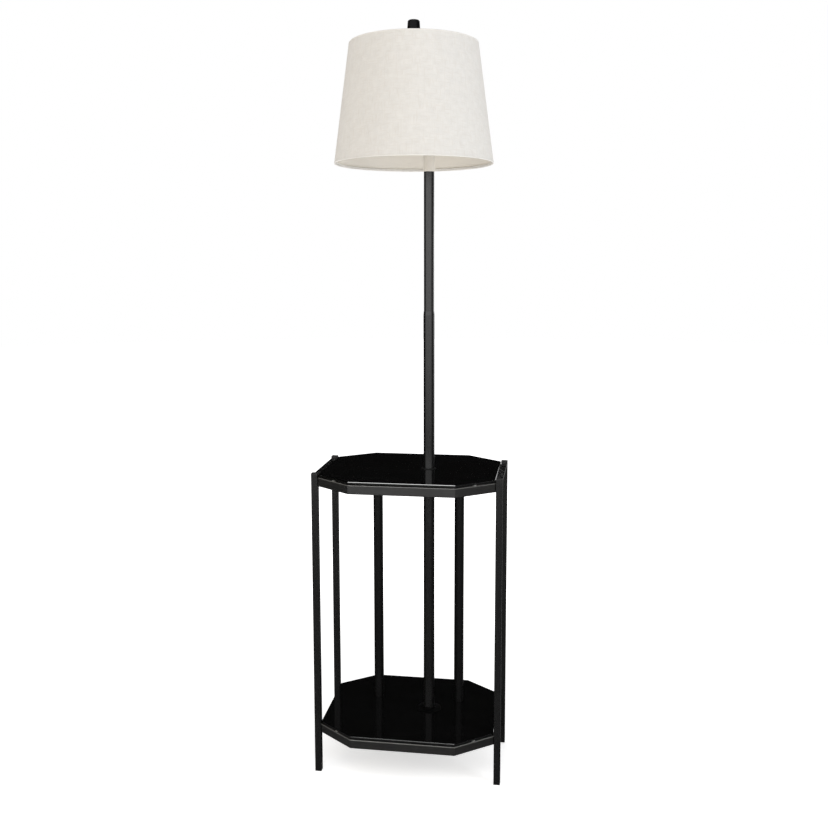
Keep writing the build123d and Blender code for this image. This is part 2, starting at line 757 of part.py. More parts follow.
# glass envelope: a cone that runs tangent into the globe
globe_r, globe_z = bulb_globe_diameter / 2, base_top + bulb_globe_rise
with BuildPart() as bulb_glass:
    for radius, neck_r, mode in ((globe_r, bulb_neck_diameter / 2, Mode.ADD),
                                 (globe_r - glass_wall, bulb_neck_diameter / 2 - glass_wall,
                                  Mode.SUBTRACT)):
        reach = hypot(neck_r, bulb_globe_rise)
        turn = atan2(-bulb_globe_rise, neck_r) + acos(radius / reach)
        touch = (radius * cos(turn), globe_z + radius * sin(turn))
        with BuildSketch(head_plane):
            with BuildLine():
                Polyline((0, globe_z + radius), (0, base_top), (neck_r, base_top), touch)
                CenterArc((0, globe_z), radius, degrees(turn), 90 - degrees(turn))
            make_face()
        revolve(axis=head_axis, mode=mode)
save(bulb_glass, "bulb_glass")

# ================================================================ shade
shade_top_z = shade_bottom_z + shade_height
bottom_r, top_r = shade_bottom_diameter / 2, shade_top_diameter / 2
slope = (bottom_r - top_r) / shade_height


def shade_r(z):
    """Outer radius of the fabric at height z."""
    return top_r + (shade_top_z - z) * slope


def band(low, high, outer, inner):
    """Cross-section of a conical band that lies outer to inner below the fabric face."""
    return [(shade_r(low) - outer, low), (shade_r(high) - outer, high),
            (shade_r(high) - inner, high), (shade_r(low) - inner, low)]


backing = fabric_thickness + laminate_gap
skin = backing + liner_thickness
for name, low, high, outer, inner in (
        ("shade_fabric", shade_bottom_z + hem_height, shade_top_z - hem_height,
         0.0, fabric_thickness),
        ("shade_liner", shade_bottom_z + hem_height, shade_top_z - hem_height,
         backing, skin),
        ("shade_top_hem", shade_top_z - hem_height, shade_top_z, -hem_proud, skin + hem_proud),
        ("shade_bottom_hem", shade_bottom_z, shade_bottom_z + hem_height,
         -hem_proud, skin + hem_proud)):
    with BuildPart() as shell:
        with BuildSketch(head_plane):
            Polygon(*band(low, high, outer, inner), align=None)
        revolve(axis=head_axis)
    save(shell, name)

ring_seats = {}
for name, z in (("shade_top_ring", shade_top_z - ring_from_edge),
                ("shade_bottom_ring", shade_bottom_z + ring_from_edge)):
    ring_seats[name] = shade_r(z) - skin - ring_gap - hem_proud - ring_wire / 2
    with BuildPart() as ring:
        with BuildSketch(head_plane):
            with Locations((ring_seats[name], z)):
                Circle(ring_wire / 2)
        revolve(axis=head_axis)
    save(ring, name)

# three-armed fitter: flat arms that rise to meet the top ring
ring_r = ring_seats["shade_top_ring"]
arm_z = hub_z + hub_thickness / 2
rise_z = shade_top_z - ring_from_edge - ring_wire / 2 - spider_wire / 2
with BuildPart() as spider:
    with BuildSketch(Plane.XY.offset(hub_z)):
        with Locations((head_x, pole_y)):
            Circle(hub_diameter / 2)
    extrude(amount=hub_thickness)
    for k in range(spider_arms):
        turned = Plane(origin=(head_x, pole_y, 0), x_dir=(sin(radians(360 / spider_arms * k)),
                       cos(radians(360 / spider_arms * k)), 0),
                       z_dir=(cos(radians(360 / spider_arms * k)),
                              -sin(radians(360 / spider_arms * k)), 0))
        with BuildLine(turned) as arm:
            FilletPolyline((hub_diameter / 2 - spider_wire, arm_z),
                           (ring_r - spider_rise_run, arm_z), (ring_r, rise_z),
                           radius=spider_bend)
        with BuildSketch(Plane(origin=arm.line @ 0, z_dir=arm.line % 0)):
            Circle(spider_wire / 2)
        sweep(path=arm.line)
    with BuildSketch(Plane.XY.offset(hub_z - hub_thickness)):
        with Locations((head_x, pole_y)):
            Circle(stud_diameter / 2 + hub_clearance)
    extrude(amount=3 * hub_thickness, mode=Mode.SUBTRACT)
save(spider, "shade_spider")

# ================================================================ finial
f0 = hub_z + hub_thickness
f1 = f0 + finial_height
drum_z = f1 - finial_drum_height
neck_r, foot_r = finial_neck_diameter / 2, finial_foot_diameter / 2
drum_r, crown_r = finial_diameter / 2, finial_top_diameter / 2
bore = stud_diameter / 2 + finial_bore_clearance
with BuildPart() as finial:
    with BuildSketch(head_plane):
        with BuildLine():
            Polyline((0, f1), (0, f0 + finial_bore_depth), (bore, f0 + finial_bore_depth),
                     (bore, f0), (foot_r, f0), (foot_r, f0 + finial_foot_height))
            ThreePointArc((foot_r, f0 + finial_foot_height),
                          (neck_r, (f0 + finial_foot_height + drum_z) / 2),
                          (foot_r, drum_z - 1.0))
            Polyline((foot_r, drum_z - 1.0), (drum_r - 1.5, drum_z), (drum_r, drum_z + 1.5),
                     (crown_r, f1 - finial_edge))
            RadiusArc((crown_r, f1 - finial_edge), (crown_r - finial_edge, f1), -finial_edge)
            Line((crown_r - finial_edge, f1), (0, f1))
        make_face()
    revolve(axis=head_axis)
save(finial, "finial")
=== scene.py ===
"""Finishes, cloth and small parts of a floor lamp with a two-tier shelf table."""

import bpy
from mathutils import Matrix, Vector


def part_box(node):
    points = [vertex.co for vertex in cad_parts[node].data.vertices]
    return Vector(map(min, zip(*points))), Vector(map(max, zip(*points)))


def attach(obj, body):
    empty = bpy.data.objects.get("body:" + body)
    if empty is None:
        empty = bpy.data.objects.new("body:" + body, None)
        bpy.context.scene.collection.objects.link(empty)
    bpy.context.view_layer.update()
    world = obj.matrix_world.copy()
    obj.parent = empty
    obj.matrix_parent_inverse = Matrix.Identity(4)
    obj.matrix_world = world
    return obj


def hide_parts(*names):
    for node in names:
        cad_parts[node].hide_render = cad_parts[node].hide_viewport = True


bl_info = {
    "name": "Shelf Floor Lamp",
    "version": (1, 0, 0),
    "blender": (4, 5, 0),
    "location": "View3D > Sidebar > Lamp",
    "description": "Builds the finishes, cloth and small parts of a floor lamp with shelves",
    "category": "Object",
}

import math

import bmesh
import bpy
from bpy.props import FloatProperty, FloatVectorProperty, IntProperty, PointerProperty
from mathutils import Matrix, Vector, noise

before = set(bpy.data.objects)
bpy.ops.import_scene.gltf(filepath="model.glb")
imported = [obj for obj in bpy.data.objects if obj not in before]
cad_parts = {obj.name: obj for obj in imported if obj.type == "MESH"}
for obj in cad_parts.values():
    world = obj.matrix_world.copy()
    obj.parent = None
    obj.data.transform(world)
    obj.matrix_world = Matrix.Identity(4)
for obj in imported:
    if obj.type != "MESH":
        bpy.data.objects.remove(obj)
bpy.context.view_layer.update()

MM = 0.001
FINISH_PREFIX = "lamp_"      # keeps the finishes apart from the frame's own materials
SHARP = math.radians(40)     # faces that meet at more than this stay sharp


# ---------------------------------------------------------------- places read from the frame
def centre(node):
    """Middle of a node's box."""
    low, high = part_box(node)
    return (low + high) / 2


def half_width(node):
    """Half of a node's size along X."""
    low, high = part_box(node)
    return (high.x - low.x) / 2


POLE = centre("pole_lower")
HEAD = centre("shade_top_ring")
SIDE_EDGE = 192 * MM         # length of a shelf frame's left and right edges
FRONT_EDGE = 221 * MM        # length of its front and back edges
RAIL_WIDTH = 12 * MM         # width of its square tube
POLE_BRACE = 34 * MM         # width of the flat bar that carries the pole
POST_BRACE = 24 * MM         # width of the flat bars that carry the posts
HEM_PROUD = 0.25 * MM        # how far a hem stands out of the cloth


# ---------------------------------------------------------------- settings
class LampPaint(bpy.types.PropertyGroup):
    """Coatings of the steel, the glass and the plastics."""

    black: FloatVectorProperty(
        name="Black", description="Satin powder coat of legs, posts and pole",
        subtype="COLOR", size=3, default=(0.0055, 0.0055, 0.0056))
    black_roughness: FloatProperty(
        name="Black Roughness", description="Roughness of the satin black coat",
        subtype="FACTOR", min=0, max=1, default=0.27)
    gunmetal: FloatVectorProperty(
        name="Gunmetal", description="Coating of the shelf frames",
        subtype="COLOR", size=3, default=(0.0080, 0.0080, 0.0075))
    rubbed: FloatVectorProperty(
        name="Rubbed Edge", description="Tone of a coat rubbed pale along an upper edge",
        subtype="COLOR", size=3, default=(0.20, 0.20, 0.19))
    glass: FloatVectorProperty(
        name="Glass", description="Back-painted black glass of the shelves",
        subtype="COLOR", size=3, default=(0.0036, 0.0036, 0.0037))
    seam: FloatVectorProperty(
        name="Seamed Edge", description="Ground edge of the glass",
        subtype="COLOR", size=3, default=(0.0045, 0.0046, 0.0045))
    bevel: FloatVectorProperty(
        name="Polished Bevel", description="Bevel between the glass's face and its edge",
        subtype="COLOR", size=3, default=(0.17, 0.172, 0.17))
    plastic: FloatVectorProperty(
        name="Plastic", description="Moulded feet, plugs and switch knob, and the rubber parts",
        subtype="COLOR", size=3, default=(0.010, 0.010, 0.010))
    peel: FloatProperty(
        name="Coat Texture", description="Height of the coat's fine grain",
        subtype="DISTANCE", unit="LENGTH", default=0.000002, precision=7)
    cream: FloatVectorProperty(
        name="Cream", description="Plastic sleeve on the top of the pole",
        subtype="COLOR", size=3, default=(0.72, 0.685, 0.625))


class LampCloth(bpy.types.PropertyGroup):
    """Cloth of the shade."""

    linen: FloatVectorProperty(
        name="Linen", description="Off-white linen of the shade",
        subtype="COLOR", size=3, default=(0.815, 0.795, 0.76))
    slub: FloatVectorProperty(
        name="Slub", description="Darker tone of the thick yarns",
        subtype="COLOR", size=3, default=(0.66, 0.60, 0.52))
    yarn: FloatProperty(
        name="Yarn Pitch", description="Distance from one yarn to the next",
        subtype="DISTANCE", unit="LENGTH", default=0.00085, precision=5)
    thickness: FloatProperty(
        name="Thickness", description="Thickness of the cloth",
        subtype="DISTANCE", unit="LENGTH", default=0.001, precision=5)
    lap: FloatProperty(
        name="Lap", description="Width of the lapped seam at the back",
        subtype="DISTANCE", unit="LENGTH", default=0.012, precision=4)
    columns: IntProperty(
        name="Columns", description="Faces around the shade", min=64, default=288)
    rows: IntProperty(
        name="Rows", description="Faces up the shade", min=8, default=40)


class LampHardware(bpy.types.PropertyGroup):
    """Welds, threads and metals."""

    bead: FloatProperty(
        name="Weld Bead", description="Radius of a weld bead",
        subtype="DISTANCE", unit="LENGTH", default=0.0013, precision=5)
    bead_pitch: FloatProperty(
        name="Bead Pitch", description="Distance from one bead to the next",
        subtype="DISTANCE", unit="LENGTH", default=0.0013, precision=5)
    pipe_pitch: FloatProperty(
        name="Pipe Pitch", description="Pitch of the hollow pipe's thread",
        subtype="DISTANCE", unit="LENGTH", default=0.001, precision=5)
    cap_pitch: FloatProperty(
        name="Bulb Pitch", description="Pitch of the bulb's screw cap",
        subtype="DISTANCE", unit="LENGTH", default=0.00363, precision=5)
    brass: FloatVectorProperty(
        name="Brass", description="Brass plate of harp and socket",
        subtype="COLOR", size=3, default=(0.70, 0.52, 0.25))
    zinc: FloatVectorProperty(
        name="Zinc", description="Zinc plate of the fasteners",
        subtype="COLOR", size=3, default=(0.60, 0.60, 0.58))


class LampStage(bpy.types.PropertyGroup):
    """Camera, floor and light."""

    camera: FloatVectorProperty(
        name="Camera", description="Place of the camera",
        subtype="TRANSLATION", unit="LENGTH", size=3, default=(0.3072, -2.0087, 1.1032))
    yaw: FloatProperty(
        name="Yaw", description="Turn of the camera to the right of +Y",
        subtype="ANGLE", unit="ROTATION", default=math.radians(-8.591))
    pitch: FloatProperty(
        name="Pitch", description="Tilt of the camera above the horizon",
        subtype="ANGLE", unit="ROTATION", default=math.radians(-6.851))
    roll: FloatProperty(
        name="Roll", description="Roll of the camera",
        subtype="ANGLE", unit="ROTATION", default=math.radians(-0.106))
    lens: FloatProperty(
        name="Lens", description="Focal length in millimetres",
        subtype="DISTANCE_CAMERA", default=41.267)
    rise: FloatProperty(
        name="Rise", description="Vertical shift of the lens",
        default=-0.04348)
    ambient: FloatProperty(
        name="Ambient", description="Level of the light from all round",
        min=0, default=0.42)
    glow: FloatProperty(
        name="Glow", description="Brightness of the light walls that gloss picks up",
        min=0, default=3.6)
    overhead: FloatProperty(
        name="Overhead", description="Brightness of the light overhead that bright edges pick up",
        min=0, default=5.8)
    aim: FloatProperty(
        name="Aim", description="Turn of the front light wall to the right",
        subtype="ANGLE", unit="ROTATION", default=math.radians(-3))
    rear_aim: FloatProperty(
        name="Rear Aim", description="Turn of the rear light wall from the front to the right",
        subtype="ANGLE", unit="ROTATION", default=math.radians(145))
    floor_lift: FloatProperty(
        name="Floor Lift", description="White that the camera sees on the floor besides its light",
        subtype="FACTOR", min=0, max=1, default=0.535)
    floor_fill: FloatProperty(
        name="Floor Fill", description="Light that the bright floor throws up at the lamp",
        min=0, default=0.62)
    floor_radius: FloatProperty(
        name="Floor Radius", description="Radius of the floor",
        subtype="DISTANCE", unit="LENGTH", default=12.0)


# ---------------------------------------------------------------- node helpers
class Value:
    """An output socket that adds Math nodes when it is used in arithmetic."""

    def __init__(self, wiring, socket):
        self.wiring = wiring
        self.socket = socket

    def math(self, operation, *values):
        """Adds one Math node."""
        return self.wiring.node("ShaderNodeMath", {"operation": operation}, dict(enumerate(values)))

    def __add__(self, other):
        return self.math("ADD", self, other)

    def __sub__(self, other):
        return self.math("SUBTRACT", self, other)

    def __rsub__(self, other):
        return self.math("SUBTRACT", other, self)

    def __mul__(self, other):
        return self.math("MULTIPLY", self, other)

    __radd__ = __add__
    __rmul__ = __mul__

    def sine(self):
        return self.math("SINE", self)

    def cosine(self):
        return self.math("COSINE", self)

    def size(self):
        return self.math("ABSOLUTE", self)

    def or_more(self, other):
        return self.math("MAXIMUM", self, other)

    def or_less(self, other):
        return self.math("MINIMUM", self, other)

    def step(self, low, high):
        """Rises smoothly from 0 at low to 1 at high."""
        return self.wiring.node(
            "ShaderNodeMapRange", {"interpolation_type": "SMOOTHSTEP"},
            {"Value": self, "From Min": low, "From Max": high})


class Wiring:
    """Adds nodes to one tree and joins them."""

    def __init__(self, tree):
        self.tree = tree

    def node(self, kind, settings=None, inputs=None, output=0):
        """Adds a node: its settings come first, then the values or links of its sockets."""
        added = self.tree.nodes.new(kind)
        for name, value in (settings or {}).items():
            setattr(added, name, value)
        for key, value in (inputs or {}).items():
            self.feed(added.inputs[key], value)
        return Value(self, added.outputs[output])

    def feed(self, socket, value):
        """Links a value to a socket, or sets the socket's own number or colour."""
        if isinstance(value, Value):
            self.tree.links.new(value.socket, socket)
        else:
            socket.default_value = value

    def axis(self, vector, letter):
        """One of the three numbers of a vector."""
        return self.node("ShaderNodeSeparateXYZ", inputs={0: vector}, output=letter)

    def ray(self, kind):
        """1 for rays of one kind and 0 for others."""
        return self.node("ShaderNodeLightPath", output=f"Is {kind} Ray")


class Finish(Wiring):
    """A surface finish with one Principled shader. Its patterns are in metres."""

    def __init__(self, name, uniform):
        self.material = bpy.data.materials.new(FINISH_PREFIX + name)
        self.material.use_nodes = True
        super().__init__(self.material.node_tree)
        self.shader = self.tree.nodes["Principled BSDF"]
        for socket, value in uniform.items():
            self.shader.inputs[socket].default_value = value

    def place(self):
        """Where a point of the surface lies, in metres."""
        return self.node("ShaderNodeTexCoord", output="Object")

    def stretched(self, vector, scale):
        """A vector scaled along X, Y and Z. A small scale draws a pattern out."""
        return self.node("ShaderNodeMapping", inputs={"Vector": vector, "Scale": scale})

    def grain(self, vector, size, detail=2):
        """Noise whose lumps are about size metres across."""
        return self.node(
            "ShaderNodeTexNoise",
            inputs={"Vector": vector, "Scale": 1 / size, "Detail": detail})

    def tint(self, factor, low, high):
        """The colour low where the factor is 0, and high where it is 1."""
        ends = {0: factor, 6: self.opaque(low), 7: self.opaque(high)}
        return self.node("ShaderNodeMix", {"data_type": "RGBA"}, ends, output=2)

    def opaque(self, colour):
        """A colour with its fourth number, or a linked one as it is."""
        return colour if isinstance(colour, Value) else (*colour, 1.0)

    def worn_edge(self, radius):
        """1 on an edge that looks up, 0 on a flat face."""
        rounded = self.node(
            "ShaderNodeBevel", {"samples": 8}, {"Radius": radius}, output="Normal")
        up = self.axis(rounded, "Z")
        leaning, flat = up.step(0.10, 0.40), up.step(0.90, 0.98)
        return leaning * (1 - flat)

    def colour(self, value):
        self.feed(self.shader.inputs["Base Color"], value)

    def roughness(self, value):
        self.feed(self.shader.inputs["Roughness"], value)

    def relief(self, height, depth):
        """Bumps of the given depth in metres where height goes from 0 to 1."""
        bump = self.node("ShaderNodeBump", inputs={"Distance": depth, "Height": height})
        self.feed(self.shader.inputs["Normal"], bump)


def shade_of(colour, share):
    """A colour made darker or lighter by a share."""
    return tuple(part * share for part in colour)


# ---------------------------------------------------------------- finishes
def patterned(name, uniform, tones, size, detail, roughness, swing, stretch=(1, 1, 1), depth=0):
    """A finish with one grain, which moves its tone and its roughness and may raise bumps."""
    skin = Finish(name, uniform)
    grain = skin.grain(skin.stretched(skin.place(), stretch), size, detail)
    skin.colour(skin.tint(grain, *tones))
    skin.roughness(roughness + swing * (grain - 0.5))
    if depth:
        skin.relief(grain, depth)
    return skin.material


def coated_steel(name, tone, roughness, specular, rub_width=0.0, rub_tone=None):
    """Powder-coated steel with a fine grain and faint clouds. Upper edges may be rubbed pale."""
    paint = bpy.context.scene.lamp_paint
    coat = Finish(name, {"Specular IOR Level": specular})
    place = coat.place()
    cloud = coat.grain(place, 60 * MM, 4)
    grain = coat.grain(place, 1.3 * MM, 3)
    scuff = coat.grain(coat.stretched(place, (1, 1, 0.25)), 9 * MM, 5).step(0.52, 0.72)
    body = coat.tint(cloud, shade_of(tone, 0.86), shade_of(tone, 1.14))
    if rub_tone:
        rub = coat.worn_edge(rub_width) * (0.65 + 0.35 * scuff)
        body = coat.tint(rub, body, rub_tone)
    coat.colour(body)
    coat.roughness(roughness + 0.05 * (cloud - 0.5) + 0.06 * (grain - 0.5) + 0.04 * scuff)
    coat.relief(grain, paint.peel)
    return coat.material


def satin_black():
    """Coat of the legs, the pole and its housing."""
    paint = bpy.context.scene.lamp_paint
    return coated_steel("satin_black", paint.black, paint.black_roughness, specular=0.37)


def post_black():
    """Duller coat of the posts."""
    paint = bpy.context.scene.lamp_paint
    return coated_steel("post_black", paint.black, paint.black_roughness, specular=0.20)


def gunmetal():
    """Grey coat of the shelf frames, rubbed along their upper edges."""
    paint = bpy.context.scene.lamp_paint
    return coated_steel("gunmetal", paint.gunmetal, roughness=0.34, specular=0.64,
                        rub_width=2.2 * MM, rub_tone=paint.rubbed)


def matt_black():
    """Dull dark coat of the flange at the pole's foot."""
    paint = bpy.context.scene.lamp_paint
    tone = shade_of(paint.black, 0.25)
    return coated_steel("matt_black", tone, roughness=0.6, specular=0.06)


def finial_black():
    """Dark lacquer of the finial."""
    paint = bpy.context.scene.lamp_paint
    tone = shade_of(paint.black, 0.5)
    return coated_steel("finial_black", tone, roughness=0.42, specular=0.10)


def cream_plastic():
    """Drawn plastic tube with faint die lines."""
    cream = bpy.context.scene.lamp_paint.cream
    return patterned(
        "cream_plastic", {"Specular IOR Level": 0.3},
        tones=(shade_of(cream, 0.96), shade_of(cream, 1.04)),
        size=0.9 * MM, detail=3, stretch=(1, 1, 0.04),
        roughness=0.55, swing=0.1, depth=0.01 * MM)


def black_glass():
    """Gloss glass painted black underneath, with faint wiping marks.

    Its edge is ground dark, and the bevel above it is as bright as a mirror."""
    paint = bpy.context.scene.lamp_paint
    glass = Finish("black_glass", {"IOR": 1.52, "Specular IOR Level": 0.6})
    place = glass.place()
    wipe = glass.grain(glass.stretched(place, (1, 3.5, 1)), 70 * MM, 5).step(0.45, 0.8)
    stone = glass.grain(glass.stretched(place, (1, 1, 3)), 0.8 * MM, 3)
    up = glass.axis(glass.node("ShaderNodeNewGeometry", output="True Normal"), "Z")
    edge = 1 - up.size().step(0.75, 0.95)
    face = glass.tint(wipe, paint.glass, shade_of(paint.glass, 1.5))
    seamed = glass.tint(stone, shade_of(paint.seam, 0.9), shade_of(paint.seam, 1.1))
    bevelled = edge * up.step(0.3, 0.6)
    rim = glass.tint(bevelled, seamed, paint.bevel)
    glass.colour(glass.tint(edge, face, rim))
    glass.roughness(0.02 + 0.03 * wipe + 0.13 * edge)
    glass.feed(glass.shader.inputs["Metallic"], bevelled)
    return glass.material


def moulded_black():
    """Black polypropylene with a fine spark-eroded grain."""
    paint = bpy.context.scene.lamp_paint
    plastic = Finish("moulded_black", {"Specular IOR Level": 0.4})
    place = plastic.place()
    spark = plastic.grain(place, 0.5 * MM, 3)
    cloud = plastic.grain(place, 12 * MM)
    plastic.colour(plastic.tint(cloud, shade_of(paint.plastic, 0.8), shade_of(paint.plastic, 1.3)))
    plastic.roughness(0.5 + 0.15 * (spark - 0.5))
    plastic.relief(spark, 0.04 * MM)
    return plastic.material


def black_rubber():
    """Rubber with a faint bloom."""
    paint = bpy.context.scene.lamp_paint
    rubber = Finish("black_rubber", {"Specular IOR Level": 0.17})
    place = rubber.place()
    bloom = rubber.grain(place, 4 * MM, 5)
    skin = rubber.grain(place, 0.3 * MM, 2)
    rubber.colour(rubber.tint(bloom, shade_of(paint.plastic, 0.2), shade_of(paint.plastic, 0.5)))
    rubber.roughness(0.7 + 0.2 * (bloom - 0.5))
    rubber.relief(skin, 0.03 * MM)
    return rubber.material


def clear_bumper():
    """Translucent silicone bumper under the glass."""
    return patterned(
        "clear_bumper", {"Transmission Weight": 0.55, "IOR": 1.42},
        tones=((0.42, 0.43, 0.41), (0.62, 0.63, 0.60)),
        size=1.5 * MM, detail=3, roughness=0.35, swing=0.2)


def plated(name, tone, tarnish, roughness):
    """Plated metal with fine drawing marks and a light tarnish in clouds."""
    metal = Finish(name, {"Metallic": 1.0})
    place = metal.place()
    drawn = metal.grain(metal.stretched(place, (1, 1, 0.06)), 0.5 * MM, 3)
    cloud = metal.grain(place, 11 * MM, 5).step(0.35, 0.75)
    metal.colour(metal.tint(0.55 * cloud + 0.2 * drawn, tone, tarnish))
    metal.roughness(roughness + 0.12 * cloud + 0.10 * (drawn - 0.5))
    metal.relief(drawn, 0.006 * MM)
    return metal.material


def brass_plate():
    """Brass plate of the harp and the socket."""
    tone = bpy.context.scene.lamp_hardware.brass
    return plated("brass_plate", tone, tarnish=(0.52, 0.36, 0.16), roughness=0.24)


def zinc_plate():
    """Zinc plate of the fasteners and pipes."""
    tone = bpy.context.scene.lamp_hardware.zinc
    return plated("zinc_plate", tone, tarnish=(0.42, 0.42, 0.39), roughness=0.34)


def cap_aluminium():
    """Rolled aluminium of the bulb's cap."""
    tone = (0.74, 0.74, 0.72)
    return plated("cap_aluminium", tone, tarnish=(0.60, 0.60, 0.58), roughness=0.30)


def insulating_paper():
    """Brown vulcanised paper with long fibres."""
    return patterned(
        "insulating_paper", {"Specular IOR Level": 0.3},
        tones=((0.26, 0.19, 0.12), (0.52, 0.42, 0.29)),
        size=0.8 * MM, detail=4, stretch=(1, 1, 0.15),
        roughness=0.75, swing=0.2, depth=0.05 * MM)


def phenolic():
    """Dark moulded phenolic with a faint swirl."""
    return patterned(
        "phenolic", {"Specular IOR Level": 0.5},
        tones=((0.012, 0.008, 0.006), (0.050, 0.030, 0.020)),
        size=6 * MM, detail=5, stretch=(1, 1, 2), roughness=0.32, swing=0.15)


def frosted_bulb():
    """White-frosted glass, a little uneven inside."""
    return patterned(
        "frosted_bulb", {"Coat Weight": 0.5, "Coat Roughness": 0.05},
        tones=((0.80, 0.80, 0.77), (0.90, 0.90, 0.87)),
        size=7 * MM, detail=4, roughness=0.38, swing=0.1)


def styrene():
    """White styrene lining, seen inside the shade, with faint calender marks."""
    sheet = Finish("styrene", {"Specular IOR Level": 0.35})
    place = sheet.place()
    mark = sheet.grain(sheet.stretched(place, (1, 1, 6)), 20 * MM, 4)
    cloud = sheet.grain(place, 80 * MM, 3)
    sheet.colour(sheet.tint(0.5 * mark + 0.5 * cloud, (0.79, 0.75, 0.685), (0.87, 0.835, 0.765)))
    sheet.roughness(0.42 + 0.12 * (mark - 0.5))
    sheet.relief(mark, 0.02 * MM)
    return sheet.material


def enamelled_wire():
    """White enamel of the shade's rings and fitter."""
    return patterned(
        "enamelled_wire", {"Specular IOR Level": 0.5},
        tones=((0.68, 0.66, 0.62), (0.78, 0.76, 0.72)),
        size=5 * MM, detail=3, roughness=0.30, swing=0.12, depth=0.02 * MM)


def woven(name, base, contrast):
    """Plain-woven linen with darker thick yarns, which show by the contrast.

    Its map holds the flat cloth in metres, so the yarns run straight in it."""
    cloth = bpy.context.scene.lamp_cloth
    linen = Finish(name, {
        "Specular IOR Level": 0.15, "Sheen Weight": 0.12, "Sheen Roughness": 0.6})
    flat = linen.node("ShaderNodeUVMap", {"uv_map": "cloth"})
    across, along = linen.axis(flat, "X"), linen.axis(flat, "Y")
    wander = linen.grain(flat, 14 * MM, 2) - 0.5
    turns = math.pi / cloth.yarn
    warp = ((across + wander * (0.5 * MM)) * turns).sine()
    weft = ((along + wander * (0.7 * MM)) * turns).sine()
    over = 0.5 + 0.5 * warp * weft
    height = (warp.size() * over).or_more(weft.size() * (1 - over))
    thick_weft = linen.grain(linen.stretched(flat, (1, 8, 1)), 20 * MM, 4).step(0.45, 0.75)
    thick_warp = linen.grain(linen.stretched(flat, (8, 1, 1)), 22 * MM, 4).step(0.45, 0.75)
    slub = thick_weft.or_more(thick_warp)
    cloud = linen.grain(flat, 13 * MM, 4) - 0.5
    tone = linen.tint(0.25 + cloud + 0.5 * height, shade_of(base, 0.91), shade_of(base, 1.06))
    linen.colour(linen.tint(slub * contrast, tone, cloth.slub))
    linen.roughness(0.88 - 0.10 * height)
    linen.relief(height + 0.6 * slub, 0.16 * MM)
    return linen.material


def shade_linen():
    """Linen of the shade's wall."""
    return woven("shade_linen", bpy.context.scene.lamp_cloth.linen, contrast=0.26)


def hem_linen():
    """Paler linen tape of the hems."""
    base = shade_of(bpy.context.scene.lamp_cloth.linen, 1.06)
    return woven("hem_linen", base, contrast=0.20)


def made(maker):
    """The material of a maker, made once."""
    return bpy.data.materials.get(FINISH_PREFIX + maker.__name__) or maker()


# ---------------------------------------------------------------- mesh helpers
def dress(maker, *nodes):
    """Gives carried-over nodes their finish."""
    for name in nodes:
        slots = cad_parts[name].data.materials
        slots.clear()
        slots.append(made(maker))


def add_piece(name, mesh, maker, body):
    """A new piece with its finish, riding on a body."""
    piece = bpy.data.objects.new(name, mesh)
    bpy.context.scene.collection.objects.link(piece)
    mesh.materials.clear()
    mesh.materials.append(made(maker))
    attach(piece, body)
    return piece


def ring_mesh(name, rings, closed, uv=None):
    """A mesh of rings of points that follow each other, all with as many points.

    closed joins the last ring to the first. uv(ring, column) gives the map in metres."""
    shape = bmesh.new()
    grid = [[shape.verts.new(point) for point in ring] for ring in rings]
    columns = len(grid[0])
    layer = shape.loops.layers.uv.new("cloth") if uv else None
    last = len(grid) if closed else len(grid) - 1
    for i in range(last):
        low, high = grid[i], grid[(i + 1) % len(grid)]
        for k in range(columns):
            n = (k + 1) % columns
            face = shape.faces.new((low[k], low[n], high[n], high[k]))
            face.smooth = True
            if uv:
                for loop, spot in zip(face.loops, ((i, k), (i, k + 1), (i + 1, k + 1), (i + 1, k))):
                    loop[layer].uv = uv(*spot)
    if not closed:
        shape.faces.new(reversed(grid[0]))
        shape.faces.new(grid[-1])
    bmesh.ops.recalc_face_normals(shape, faces=shape.faces)
    mesh = bpy.data.meshes.new(name)
    shape.to_mesh(mesh)
    shape.free()
    mesh.set_sharp_from_angle(angle=SHARP)
    return mesh


def round_point(axis, radius, turn, z):
    """A point round a vertical axis. Turn 0 is at the front, and it grows to the right."""
    return Vector((axis.x + radius * math.sin(turn), axis.y - radius * math.cos(turn), z))


def circle(axis, radius, z, columns):
    """Points all the way round a vertical axis."""
    return [round_point(axis, radius, math.tau * k / columns, z) for k in range(columns)]


